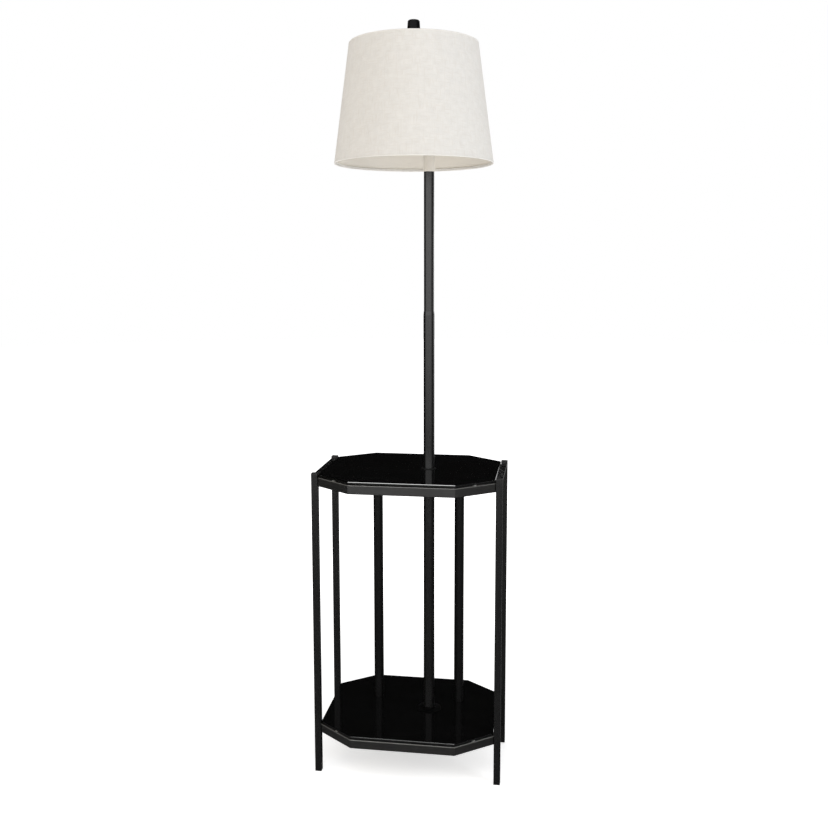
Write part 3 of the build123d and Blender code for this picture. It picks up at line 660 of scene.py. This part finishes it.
# ---------------------------------------------------------------- repeats
class Recipe(Wiring):
    """A geometry tree with named sizes, which ends in real geometry with one material."""

    def __init__(self, name, sizes, maker):
        super().__init__(bpy.data.node_groups.new(name, "GeometryNodeTree"))
        ports = self.tree.interface
        ports.new_socket("Geometry", in_out="INPUT", socket_type="NodeSocketGeometry")
        ports.new_socket("Geometry", in_out="OUTPUT", socket_type="NodeSocketGeometry")
        kinds = {int: "NodeSocketInt", float: "NodeSocketFloat"}
        self.sizes = sizes
        self.ports = {label: ports.new_socket(label, in_out="INPUT", socket_type=kinds[type(size)])
                      for label, size in sizes.items()}
        self.maker = maker
        self.source = self.tree.nodes.new("NodeGroupInput")
        self.sink = self.tree.nodes.new("NodeGroupOutput")

    def given(self, label):
        """One of the tree's named inputs."""
        return Value(self, self.source.outputs[label])

    def end(self, geometry):
        """Makes the instances real and gives them the material."""
        real = self.node("GeometryNodeRealizeInstances", inputs={"Geometry": geometry})
        dressed = self.node(
            "GeometryNodeSetMaterial", inputs={"Geometry": real, "Material": made(self.maker)})
        self.feed(self.sink.inputs["Geometry"], dressed)

    def grow(self, name, base):
        """A plain mesh grown on a base mesh."""
        holder = bpy.data.objects.new(name + "_base", base)
        bpy.context.scene.collection.objects.link(holder)
        modifier = holder.modifiers.new("recipe", "NODES")
        modifier.node_group = self.tree
        for label, size in self.sizes.items():
            modifier[self.ports[label].identifier] = size
        bpy.context.view_layer.update()
        solid = holder.evaluated_get(bpy.context.evaluated_depsgraph_get())
        mesh = bpy.data.meshes.new_from_object(solid)
        mesh.name = name
        holder.modifiers.remove(modifier)
        bpy.data.objects.remove(holder)
        bpy.data.meshes.remove(base)
        return mesh


def lines_mesh(name, lines):
    """A mesh of loose edges, one for each pair of points."""
    points = [point for line in lines for point in line]
    edges = [(2 * i, 2 * i + 1) for i in range(len(lines))]
    mesh = bpy.data.meshes.new(name)
    mesh.from_pydata(points, edges, [])
    return mesh


def weld_recipe():
    """Small uneven beads along loose edges."""
    hardware = bpy.context.scene.lamp_hardware
    recipe = Recipe("weld_beads", {
        "Bead Radius": hardware.bead, "Pitch": hardware.bead_pitch,
        "Least": 0.75, "Most": 1.15, "Seed": 7}, gunmetal)
    curve = recipe.node("GeometryNodeMeshToCurve", inputs={"Mesh": recipe.given("Geometry")})
    spots = recipe.node(
        "GeometryNodeCurveToPoints", {"mode": "LENGTH"},
        {"Curve": curve, "Length": recipe.given("Pitch")})
    bead = recipe.node(
        "GeometryNodeMeshUVSphere",
        inputs={"Segments": 8, "Rings": 6, "Radius": recipe.given("Bead Radius")})
    bead = recipe.node(
        "GeometryNodeSetShadeSmooth", inputs={"Geometry": bead, "Shade Smooth": True})
    uneven = recipe.node(
        "FunctionNodeRandomValue", {"data_type": "FLOAT"},
        {2: recipe.given("Least"), 3: recipe.given("Most"), "Seed": recipe.given("Seed")}, 1)
    beads = recipe.node(
        "GeometryNodeInstanceOnPoints",
        inputs={"Points": spots, "Instance": bead, "Scale": uneven})
    recipe.end(beads)
    return recipe


def thread_recipe(radius, pitch, length, ridge):
    """A helical ridge round the Z axis, from z = 0 up."""
    recipe = Recipe("pipe_thread", {
        "Radius": radius, "Turns": length / pitch, "Length": length, "Ridge": ridge}, zinc_plate)
    helix = recipe.node(
        "GeometryNodeCurveSpiral",
        inputs={"Resolution": 40, "Rotations": recipe.given("Turns"),
                "Start Radius": recipe.given("Radius"), "End Radius": recipe.given("Radius"),
                "Height": recipe.given("Length")})
    profile = recipe.node(
        "GeometryNodeCurvePrimitiveCircle",
        inputs={"Resolution": 6, "Radius": recipe.given("Ridge")})
    ridge_mesh = recipe.node(
        "GeometryNodeCurveToMesh",
        inputs={"Curve": helix, "Profile Curve": profile, "Fill Caps": True})
    recipe.end(ridge_mesh)
    return recipe


# ---------------------------------------------------------------- shelf frames
def octagon(inset):
    """Corners of a shelf frame in plan, with its edges moved inwards."""
    low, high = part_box("upper_frame_rails")
    half_x, half_y = (high.x - low.x) / 2, (high.y - low.y) / 2
    front, side = FRONT_EDGE / 2, SIDE_EDGE / 2
    run_x, run_y = half_x - front, half_y - side
    slant = math.hypot(run_x, run_y)
    shift_x = inset * (slant - run_x) / run_y
    shift_y = inset * (slant - run_y) / run_x
    quarter = [(front - shift_x, -half_y + inset), (half_x - inset, -side + shift_y)]
    right = quarter + [(x, -y) for x, y in reversed(quarter)]
    return right + [(-x, y) for x, y in reversed(right)]


def weld_lines(tier):
    """Where a frame is welded: inside its mitres, beside the legs and along the brace ends."""
    low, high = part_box(f"{tier}_frame_rails")
    margin = 1.5 * MM
    leg_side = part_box("leg_front_right")[1].y
    beside_legs = [(x, y) for x in (low.x, high.x) for y in (leg_side, -leg_side)]
    lines = [((x, y, low.z + margin), (x, y, high.z - margin))
             for x, y in octagon(RAIL_WIDTH) + beside_legs]
    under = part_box(f"{tier}_frame_braces")[0].z
    for x in (low.x + RAIL_WIDTH, high.x - RAIL_WIDTH):
        for middle, width in ((POLE.y, POLE_BRACE), (centre("post_left").y, POST_BRACE)):
            lines.append(((x, middle - width / 2, under), (x, middle + width / 2, under)))
    return lines


class LAMP_OT_frames(bpy.types.Operator):
    """Shelf frames: gunmetal tube with its welds and braces."""

    bl_idname = "lamp.frames"
    bl_label = "Shelf Frames"

    def execute(self, context):
        dress(gunmetal, "upper_frame_rails", "lower_frame_rails",
              "upper_frame_braces", "lower_frame_braces")
        for tier in ("upper", "lower"):
            name = f"{tier}_frame_welds"
            lines = lines_mesh(name + "_lines", weld_lines(tier))
            mesh = weld_recipe().grow(name, lines)
            add_piece(name, mesh, gunmetal, "lamp_frame")
        return {"FINISHED"}


class LAMP_OT_shelves(bpy.types.Operator):
    """Glass panels, the clear bumpers under them and their rubber parts."""

    bl_idname = "lamp.shelves"
    bl_label = "Shelves"

    def execute(self, context):
        dress(black_glass, "upper_shelf_panel", "lower_shelf_panel")
        dress(clear_bumper, "upper_shelf_pads", "lower_shelf_pads")
        dress(black_rubber, "upper_shelf_grommet", "lower_shelf_spacers")
        return {"FINISHED"}


class LAMP_OT_legs(bpy.types.Operator):
    """Square legs with their plastic feet and plugs, and the round posts."""

    bl_idname = "lamp.legs"
    bl_label = "Legs and Posts"

    def execute(self, context):
        dress(satin_black, "leg_front_left", "leg_front_right", "leg_back_left",
              "leg_back_right", "upper_side_ties")
        dress(post_black, "post_left", "post_right")
        dress(moulded_black, "leg_feet", "leg_top_plugs")
        dress(zinc_plate, "post_inserts", "post_bolts", "post_screws")
        return {"FINISHED"}


# ---------------------------------------------------------------- pole
def sleeve_mesh():
    """Thin tube over the top of the pole, just reaching below the shade."""
    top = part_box("pole_upper")[1].z
    length, wall, slack, ease = 37 * MM, 0.6 * MM, 0.05 * MM, 0.2 * MM
    bottom = top - length
    inner = half_width("pole_upper") + slack
    outer = inner + wall
    profile = [(inner, bottom), (outer - ease, bottom), (outer, bottom + ease),
               (outer, top - ease), (outer - ease, top), (inner, top)]
    rings = [circle(POLE, radius, z, columns=64) for radius, z in profile]
    return ring_mesh("pole_sleeve", rings, closed=True)


def pipe_thread_mesh():
    """Thread of the hollow pipe at the pole's foot, from its lower end up to the nuts."""
    ridge, chamfer = 0.25 * MM, 0.5 * MM
    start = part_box("pole_base_nipple")[0].z + chamfer
    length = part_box("nipple_nuts")[0].z - start
    pitch = bpy.context.scene.lamp_hardware.pipe_pitch
    recipe = thread_recipe(half_width("pole_base_nipple"), pitch, length, ridge)
    mesh = recipe.grow("pole_pipe_thread", lines_mesh("pipe_line", [((0, 0, 0), (0, 0, 1))]))
    mesh.transform(Matrix.Translation((POLE.x, POLE.y, start)))
    return mesh


class LAMP_OT_pole(bpy.types.Operator):
    """Pole, flange and the threaded pipe that holds it."""

    bl_idname = "lamp.pole"
    bl_label = "Pole"

    def execute(self, context):
        dress(satin_black, "pole_lower", "pole_upper", "offset_housing", "offset_cover")
        dress(matt_black, "pole_base_flange")
        add_piece("pole_sleeve", sleeve_mesh(), cream_plastic, "lamp_frame")
        dress(moulded_black, "cord_bushing")
        dress(zinc_plate, "pole_foot_insert", "pole_top_insert", "pole_base_nipple",
              "pole_top_nipple", "head_nipple", "pole_washer", "nipple_nuts")
        add_piece("pole_pipe_thread", pipe_thread_mesh(), zinc_plate, "lamp_frame")
        return {"FINISHED"}


# ---------------------------------------------------------------- head
class LAMP_OT_head(bpy.types.Operator):
    """Harp, socket and switch."""

    bl_idname = "lamp.head"
    bl_label = "Harp and Socket"

    def execute(self, context):
        dress(brass_plate, "harp", "harp_saddle", "harp_sleeve_front", "harp_sleeve_back",
              "harp_stud", "socket_cap", "socket_shell", "socket_screw_shell", "socket_contact")
        dress(insulating_paper, "socket_liner")
        dress(phenolic, "socket_body")
        dress(zinc_plate, "switch_shaft")
        dress(moulded_black, "switch_knob")
        return {"FINISHED"}


def screw_cap_mesh():
    """Rolled thread of the bulb's cap, over a cone with a rounded tip."""
    pitch = bpy.context.scene.lamp_hardware.cap_pitch
    low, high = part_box("bulb_base")
    dip, rise = 0.45 * MM, 0.35 * MM
    middle = half_width("bulb_base") - dip
    cone_top = low.z + 5 * MM
    columns = 48
    cone = [(2.4 * MM, low.z), (4 * MM, low.z + 0.4 * MM), (7 * MM, low.z + 1.6 * MM),
            (11 * MM, cone_top - 0.8 * MM), (middle - dip, cone_top)]
    rings = [circle(HEAD, radius, z, columns) for radius, z in cone]
    steps = int((high.z - cone_top - rise) / rise)
    for i in range(1, steps + 1):
        z = cone_top + i * rise
        ease = min(1, i * rise / pitch, (steps - i) * rise / pitch)
        waves = [math.cos(math.tau * ((z - cone_top) / pitch - k / columns))
                 for k in range(columns)]
        rings.append([round_point(HEAD, middle + dip * wave * ease, math.tau * k / columns, z)
                      for k, wave in enumerate(waves)])
    rings.append(circle(HEAD, middle - dip, high.z, columns))
    return ring_mesh("bulb_screw_cap", rings, closed=False)


class LAMP_OT_bulb(bpy.types.Operator):
    """Frosted bulb with its rolled screw cap."""

    bl_idname = "lamp.bulb"
    bl_label = "Bulb"

    def execute(self, context):
        dress(frosted_bulb, "bulb_glass")
        cap = add_piece("bulb_screw_cap", screw_cap_mesh(), cap_aluminium, "bulb")
        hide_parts("bulb_base")
        return {"FINISHED"}


# ---------------------------------------------------------------- shade
class Cone:
    """The shade's cloth: a ring cut flat from linen and bent into a cone."""

    def __init__(self):
        low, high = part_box("shade_fabric")
        self.low, self.high = low.z, high.z
        self.wide = half_width("shade_fabric")
        self.narrow = half_width("shade_top_hem") - HEM_PROUD
        self.slope = (self.wide - self.narrow) / (self.high - self.low)
        self.sine = math.sin(math.atan(self.slope))

    def radius(self, z):
        """Outer radius of the cloth at a height."""
        return self.wide - (z - self.low) * self.slope

    def flat_point(self, turn, z):
        """Where a point of the cone lies in the flat cloth."""
        reach = self.radius(z) / self.sine
        swing = turn * self.sine
        return reach * math.sin(swing), reach * math.cos(swing)

    def cut(self):
        """Width and length of the cloth that the ring is cut from, and the ring's area."""
        outer, inner = self.wide / self.sine, self.narrow / self.sine
        swing = math.pi * self.sine
        width = 2 * outer * math.sin(swing)
        length = outer - inner * math.cos(swing)
        return (width, length), swing * (outer ** 2 - inner ** 2)


def seam_step(turn, radius, lap):
    """1 where the cloth laps over itself at the back, 0 elsewhere, with a soft end."""
    from_back = (math.pi - abs(turn)) * radius
    soft_end = 1.2 * MM
    return min(1, max(0, (lap / 2 - from_back) / soft_end))


def linen_cone():
    """Outer face, inner face and rims of the cloth, as one closed ring."""
    cloth = bpy.context.scene.lamp_cloth
    cone = Cone()
    columns, rows = cloth.columns, cloth.rows
    wave, lift = 0.22 * MM, 0.45 * MM
    waves_round, waves_up = 1.6, 4.8
    heights = [cone.low + (cone.high - cone.low) * i / rows for i in range(rows + 1)]

    def ring(z, inside):
        belly = math.sin(math.pi * (z - cone.low) / (cone.high - cone.low))
        points = []
        for k in range(columns):
            turn = math.tau * (k / columns - 0.5)
            radius = cone.radius(z)
            if inside:
                radius -= cloth.thickness
            else:
                spot = Vector((
                    waves_round * math.sin(turn), waves_round * math.cos(turn), waves_up * z))
                radius += belly * wave * noise.noise(spot)
                radius += lift * seam_step(turn, radius, cloth.lap)
            points.append(round_point(HEAD, radius, turn, z))
        return points

    rings = [ring(z, False) for z in heights] + [ring(z, True) for z in reversed(heights)]
    levels = heights + heights[::-1] + heights[:1]

    def flat(i, k):
        return cone.flat_point(math.tau * (k / columns - 0.5), levels[i])

    return ring_mesh("shade_linen", rings, closed=True, uv=flat), cone


def rolled_hem(node):
    """A folded linen tape over the rim: an upright oval in section."""
    cloth = bpy.context.scene.lamp_cloth
    cone = Cone()
    low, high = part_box(node)
    half_height = (high.z - low.z) / 2
    half_skin = 0.9 * MM
    half_thick = half_skin + HEM_PROUD
    sides, squareness = 20, 0.62
    rings, run = [], []
    for i in range(sides):
        angle = math.tau * i / sides
        out, up = math.cos(angle), math.sin(angle)
        out = math.copysign(abs(out) ** squareness, out)
        up = math.copysign(abs(up) ** squareness, up)
        z = (low.z + high.z) / 2 + half_height * up
        radius = cone.radius(z) - half_skin + half_thick * out
        rings.append(circle(HEAD, radius, z, cloth.columns))
        run.append(angle * (half_height + half_thick) / 2)
    run.append(math.tau * (half_height + half_thick) / 2)

    def flat(i, k):
        return math.tau * k / cloth.columns * cone.radius(low.z), run[i]

    return ring_mesh(node.replace("shade_", "linen_"), rings, closed=True, uv=flat)


class LAMP_OT_shade(bpy.types.Operator):
    """Linen shade with its hems, lining, rings and fitter."""

    bl_idname = "lamp.shade"
    bl_label = "Shade"

    def execute(self, context):
        dress(styrene, "shade_liner")
        dress(enamelled_wire, "shade_top_ring", "shade_bottom_ring", "shade_spider")
        for node in ("shade_top_hem", "shade_bottom_hem"):
            mesh = rolled_hem(node)
            hem = add_piece(mesh.name, mesh, hem_linen, "shade")
            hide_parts(node)
        mesh, cone = linen_cone()
        cloth = add_piece("shade_linen", mesh, shade_linen, "shade")
        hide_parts("shade_fabric")
        flat, area = cone.cut()
        return {"FINISHED"}


class LAMP_OT_finial(bpy.types.Operator):
    """Finial that holds the shade on the harp."""

    bl_idname = "lamp.finial"
    bl_label = "Finial"

    def execute(self, context):
        dress(finial_black, "finial")
        return {"FINISHED"}


# ---------------------------------------------------------------- stage
SOFTBOXES = (
    # name, place, aim, width, height, power, colour
    ("left", (-2.0, -2.0, 1.25), (0.0, 0.0, 1.2), 1.6, 2.2, 14.5, (1.0, 0.845, 0.62)),
    ("right", (2.6, -1.3, 1.5), (0.0, 0.0, 1.0), 1.2, 2.0, 26, (0.98, 0.99, 1.0)),
    ("back", (-0.4, 2.8, 1.7), (0.0, 0.0, 1.2), 2.2, 1.8, 15, (1.0, 1.0, 1.0)),
    ("top", (0.15, -2.6, 3.0), (0.0, 0.0, 0.0), 2.2, 1.4, 21, (1.0, 1.0, 1.0)),
)
# Pairs are the start and end of a smooth step. Heights run from 0 at the horizon to 1 overhead.
FRONT_WALL = (0.12, 0.70)    # cosine of the angle from the middle of the front light wall
REAR_WALL = (0.60, 0.95)     # the same for the rear light wall
FRONT_TOP = (0.15, 0.58)     # heights over which the front wall fades
REAR_TOP = (0.03, 0.10)      # heights over which the rear wall fades
OVERHEAD = (0.85, 0.96)      # heights over which the light overhead sets in
REAR_SHARE = 0.75            # brightness of the rear wall against the front one
DARK_ROOM = 0.004            # what gloss picks up between the walls
FLOOR_NEAR = 0.04            # share of the walls' glow that gloss picks up from the floor nearby
FLOOR_FAR = ((0.22, 2.6, 4.6), (0.16, 4.6, 12.0))    # shares added between two distances in metres
CLEAR_ROUND = (0.28, 1.1)    # metres from the lamp over which the floor's shadow gives way
CLEAR_AHEAD = (0.0, 0.25)    # the same straight ahead of the lamp


def hang_softbox(name, place, aim, width, height, power, colour):
    """A rectangular soft light that the camera doesn't see."""
    light = bpy.data.lights.new(name, "AREA")
    light.shape = "RECTANGLE"
    light.size, light.size_y = width, height
    light.energy, light.color = power, colour
    box = bpy.data.objects.new(name, light)
    bpy.context.scene.collection.objects.link(box)
    box.location = place
    box.rotation_euler = (Vector(aim) - Vector(place)).to_track_quat("-Z", "Y").to_euler()
    box.visible_camera = False
    box.visible_glossy = False


def light_walls(wiring, stage, place):
    """How much a place lies before the lamp's front, and how much behind it on the right."""
    to_right = wiring.axis(place, "X")
    turn = to_right.math("ARCTAN2", to_right, 0 - wiring.axis(place, "Y"))
    return ((turn - stage.aim).cosine().step(*FRONT_WALL),
            (turn - stage.rear_aim).cosine().step(*REAR_WALL))


def fill_world(stage):
    """White for the camera and through glass, low light walls for gloss, soft light otherwise."""
    world = bpy.data.worlds.new("studio")
    bpy.context.scene.world = world
    world.use_nodes = True
    sky = Wiring(world.node_tree)
    direction = sky.node("ShaderNodeTexCoord", output="Generated")
    height = sky.axis(direction, "Z")
    front, behind = light_walls(sky, stage, direction)
    walls = (front * (1 - height.step(*FRONT_TOP))
             + REAR_SHARE * behind * (1 - height.step(*REAR_TOP)))
    reflected = DARK_ROOM + stage.glow * walls + stage.overhead * height.step(*OVERHEAD)
    white = (sky.ray("Camera") + sky.ray("Transmission")).or_less(1)
    lit = sky.ray("Glossy") * reflected + sky.ray("Diffuse") * stage.ambient
    background = sky.tree.nodes["Background"]
    sky.feed(background.inputs["Color"], (1.0, 1.0, 1.0, 1.0))
    sky.feed(background.inputs["Strength"], white + (1 - white) * lit)


def lay_floor(stage):
    """A pale round floor that keeps the shadow and throws soft light up at the lamp."""
    disc = bpy.data.meshes.new("floor")
    shape = bmesh.new()
    bmesh.ops.create_circle(shape, cap_ends=True, segments=96, radius=stage.floor_radius)
    shape.to_mesh(disc)
    shape.free()
    floor = bpy.data.objects.new("floor", disc)
    bpy.context.scene.collection.objects.link(floor)
    paint = Finish("pale_floor", {"Specular IOR Level": 0.0, "Roughness": 1.0})
    place = paint.place()
    seen, glossy = paint.ray("Camera"), paint.ray("Glossy")
    cloud = paint.grain(place, 0.5, 2)
    pale = paint.tint(cloud, (0.76, 0.76, 0.765), (0.78, 0.78, 0.785))
    pale = paint.tint(seen, pale, (1.0, 1.0, 1.0))
    paint.colour(paint.tint(glossy, pale, (0.03, 0.03, 0.03)))
    distance = paint.node("ShaderNodeVectorMath", {"operation": "LENGTH"}, {0: place}, "Value")
    ahead = 0 - paint.axis(place, "Y")
    clear = distance.step(*CLEAR_ROUND).or_more(ahead.step(*CLEAR_AHEAD))
    lift = stage.floor_lift + (1 - stage.floor_lift) * clear
    share = FLOOR_NEAR
    for more, near, far in FLOOR_FAR:
        share = share + more * distance.step(near, far)
    front, behind = light_walls(paint, stage, place)
    wall = stage.glow * share * (front + REAR_SHARE * behind)
    white = (seen + paint.ray("Transmission")).or_less(1) * lift
    strength = white + glossy * wall + paint.ray("Diffuse") * stage.floor_fill
    glow = paint.node("ShaderNodeEmission", inputs={"Strength": strength})
    lit = Value(paint, paint.shader.outputs["BSDF"])
    both = paint.node("ShaderNodeAddShader", inputs={0: lit, 1: glow})
    paint.feed(paint.tree.nodes["Material Output"].inputs["Surface"], both)
    disc.materials.append(paint.material)


def place_camera(stage):
    """The photograph's viewpoint."""
    lens = bpy.data.cameras.new("view")
    lens.lens = stage.lens
    lens.sensor_width = 36
    lens.shift_y = stage.rise
    camera = bpy.data.objects.new("view", lens)
    bpy.context.scene.collection.objects.link(camera)
    ahead = Vector((math.sin(stage.yaw) * math.cos(stage.pitch),
                    math.cos(stage.yaw) * math.cos(stage.pitch), math.sin(stage.pitch)))
    level = Vector((math.cos(stage.yaw), -math.sin(stage.yaw), 0))
    up = level.cross(ahead)
    right = math.cos(stage.roll) * level + math.sin(stage.roll) * up
    top = math.cos(stage.roll) * up - math.sin(stage.roll) * level
    turn = Matrix((right, top, -ahead)).transposed()
    camera.matrix_world = Matrix.Translation(stage.camera) @ turn.to_4x4()
    bpy.context.scene.camera = camera


class LAMP_OT_stage(bpy.types.Operator):
    """Camera, floor, world and softboxes."""

    bl_idname = "lamp.stage"
    bl_label = "Stage"

    def execute(self, context):
        stage = context.scene.lamp_stage
        place_camera(stage)
        lay_floor(stage)
        fill_world(stage)
        for softbox in SOFTBOXES:
            hang_softbox(*softbox)
        context.scene.view_settings.view_transform = "Standard"
        return {"FINISHED"}


# ---------------------------------------------------------------- panel
BUILD_ORDER = (LAMP_OT_stage, LAMP_OT_frames, LAMP_OT_shelves, LAMP_OT_legs, LAMP_OT_pole,
               LAMP_OT_head, LAMP_OT_bulb, LAMP_OT_shade, LAMP_OT_finial)
SETTINGS = {"lamp_paint": LampPaint, "lamp_cloth": LampCloth,
            "lamp_hardware": LampHardware, "lamp_stage": LampStage}


class LAMP_PT_build(bpy.types.Panel):
    """Lists the lamp's pieces and their settings."""

    bl_idname = "LAMP_PT_build"
    bl_label = "Shelf Floor Lamp"
    bl_space_type = "VIEW_3D"
    bl_region_type = "UI"
    bl_category = "Lamp"

    def draw(self, context):
        for step in BUILD_ORDER:
            self.layout.operator(step.bl_idname)
        for name, group in SETTINGS.items():
            box = self.layout.box()
            for label in group.__annotations__:
                box.prop(getattr(context.scene, name), label)


def register():
    for kind in (*SETTINGS.values(), *BUILD_ORDER, LAMP_PT_build):
        bpy.utils.register_class(kind)
    for name, group in SETTINGS.items():
        setattr(bpy.types.Scene, name, PointerProperty(type=group))


def unregister():
    for name in SETTINGS:
        delattr(bpy.types.Scene, name)
    for kind in reversed((*SETTINGS.values(), *BUILD_ORDER, LAMP_PT_build)):
        bpy.utils.unregister_class(kind)


def main():
    register()
    for step in BUILD_ORDER:
        group, action = step.bl_idname.split(".")
        getattr(getattr(bpy.ops, group), action)()


if __name__ == "__main__":
    main()
